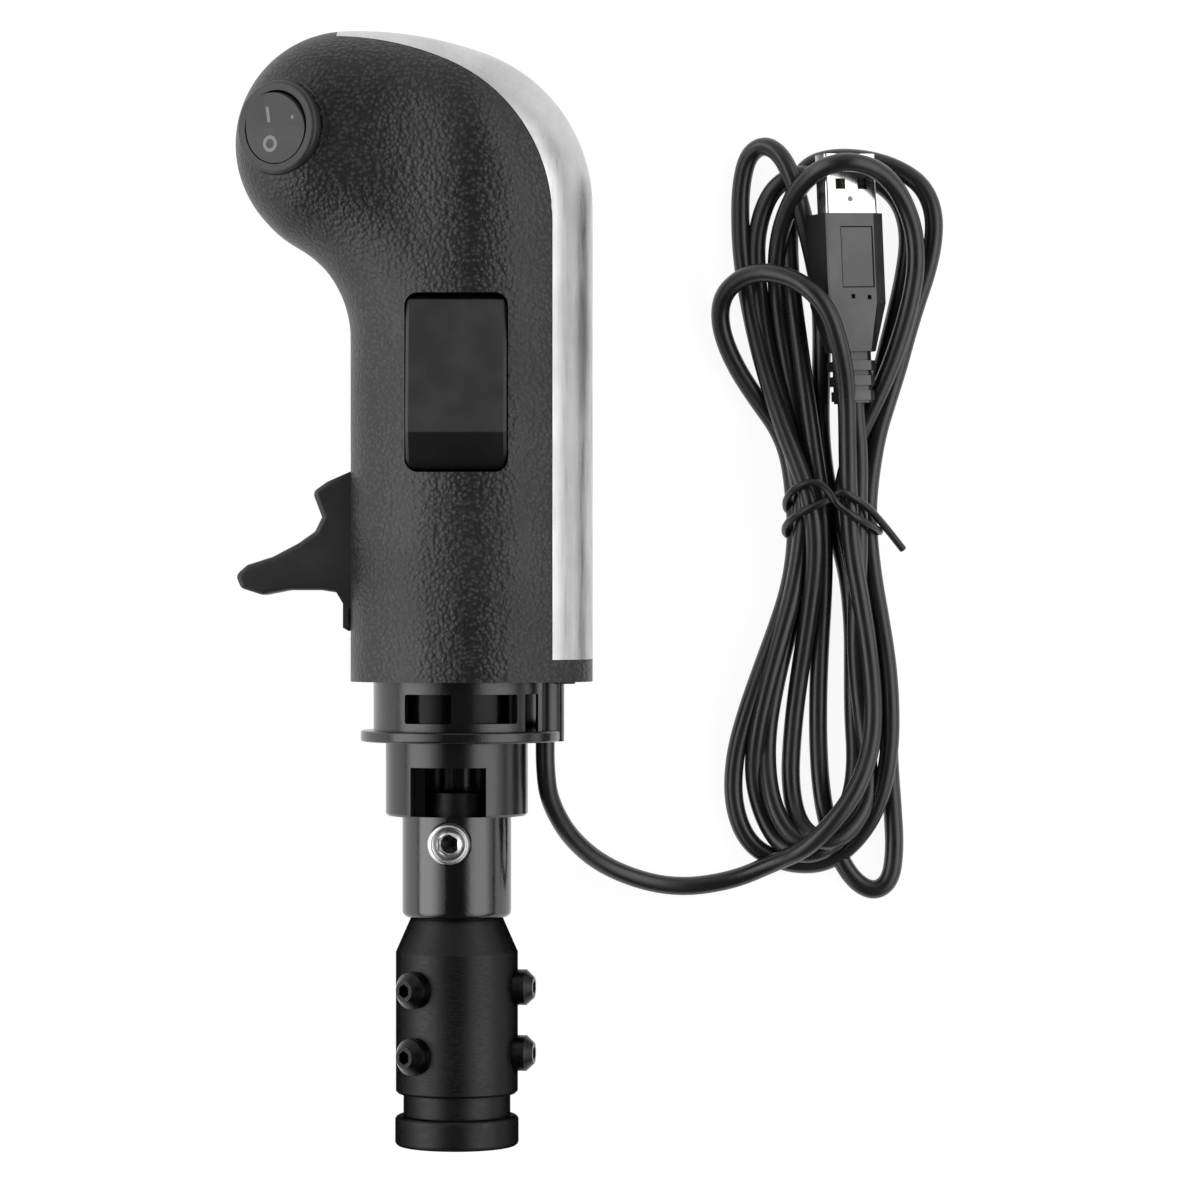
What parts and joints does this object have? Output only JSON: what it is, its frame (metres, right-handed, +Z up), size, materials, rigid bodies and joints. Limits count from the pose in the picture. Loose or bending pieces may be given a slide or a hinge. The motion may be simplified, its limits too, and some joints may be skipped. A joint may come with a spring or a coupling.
{
  "type": "usb shift knob",
  "caption": "Truck style shift knob with a grained grip, satin rear strip, side splitter rocker, round power rocker, front range lever, clamp adapter and tied USB cable.",
  "frame": {"origin": "centre of the shaft bore's mouth, on the shaft's axis", "axes": "+Y along the shaft axis up the grip, +Z up from the surface the knob lies on, the grip's front faces -X"},
  "size_m": [0.1458, 0.2265, 0.0474],
  "materials": {
    "grip": "soft black plastic with a fine leather grain",
    "trim": "satin silver",
    "inner_black": "plain moulded black",
    "collar": "glossy black",
    "lever": "plain matte black",
    "rocker": "smooth, fine matte",
    "bezel": "smooth, semi-matte",
    "adapter": "black anodised, semi-gloss, turned",
    "dark_screw": "black oxide",
    "bright_screw": "bright plated",
    "steel": "plain steel",
    "contact_metal": "plated contact",
    "button_red": "moulded",
    "board": "solder mask",
    "socket_cream": "moulded",
    "loom": "bundled wires",
    "cable": "glossy black jacket",
    "tie": "thin coated wire",
    "plug": "satin black overmould",
    "plug_shell": "nickel plated, satin",
    "tongue": "white insulator"
  },
  "bodies": {
    "knob": {"left_shell": "grip", "right_shell": "grip", "trim_strip": "trim", "shell_screws": "dark_screw", "base_plate": "inner_black", "base_screws": "dark_screw", "lock_collar": "collar", "hub_sleeve": "collar", "core_tube": "collar", "retaining_ring": "steel", "clamp_screw": "bright_screw", "shaft_adapter": "adapter", "adapter_screws": "dark_screw", "lever_pin": "steel", "detent_ball": "steel", "detent_spring": "steel", "lever_switch": "inner_black", "lever_terminals": "contact_metal", "splitter_housing": "inner_black", "splitter_pins": "steel", "splitter_terminals": "contact_metal", "splitter_screws": "steel", "power_switch": "bezel", "power_terminals": "contact_metal", "controller_board": "board", "controller_chip": "inner_black", "board_crystal": "steel", "board_sockets": "socket_cream", "board_screws": "steel", "splitter_loom": "loom", "power_loom": "loom", "lever_loom": "loom", "cable_loom": "loom", "cable_clamp": "inner_black", "clamp_bolt": "steel", "cord_inner": "cable", "cord_lead": "cable", "cord_hank": "cable", "twist_tie": "tie", "usb_overmold": "plug", "usb_shell": "plug_shell", "usb_tongue": "tongue", "usb_contacts": "contact_metal"},
    "lever": {"range_lever": "lever"},
    "lever_button": {"lever_button": "button_red"},
    "splitter": {"splitter_cap": "rocker", "splitter_plunger": "socket_cream", "splitter_spring": "steel"},
    "contact": {"splitter_contact": "contact_metal"},
    "power_rocker": {"power_rocker": "rocker"}
  },
  "joints": [
    {"name": "splitter_rock", "type": "hinge", "parent": "knob", "child": "splitter", "pos_m": [0.00055, 0.1546, 0.0174], "axis": [1, 0, 0], "range_deg": [0, 14]},
    {"name": "contact_rock", "type": "hinge", "parent": "knob", "child": "contact", "pos_m": [0.00055, 0.1546, 0.0044], "axis": [1, 0, 0], "range_deg": [-12, 0]},
    {"name": "power_rock", "type": "hinge", "parent": "knob", "child": "power_rocker", "pos_m": [-0.03497, 0.2056, 0.01897], "axis": [0.866, 0, 0.5], "range_deg": [-14, 0]},
    {"name": "range_swing", "type": "hinge", "parent": "knob", "child": "lever", "pos_m": [-0.012, 0.1215, 0], "axis": [0, 0, -1], "range_deg": [0, 22]},
    {"name": "button_slide", "type": "slide", "parent": "knob", "child": "lever_button", "axis": [0, -1, 0], "range_m": [0, 0.0014]}
  ],
  "couplings": [
    {"joint": "contact_rock", "follows": "splitter_rock", "ratio": -0.857},
    {"joint": "button_slide", "follows": "range_swing", "m_per_rad": 0.003646}
  ]
}
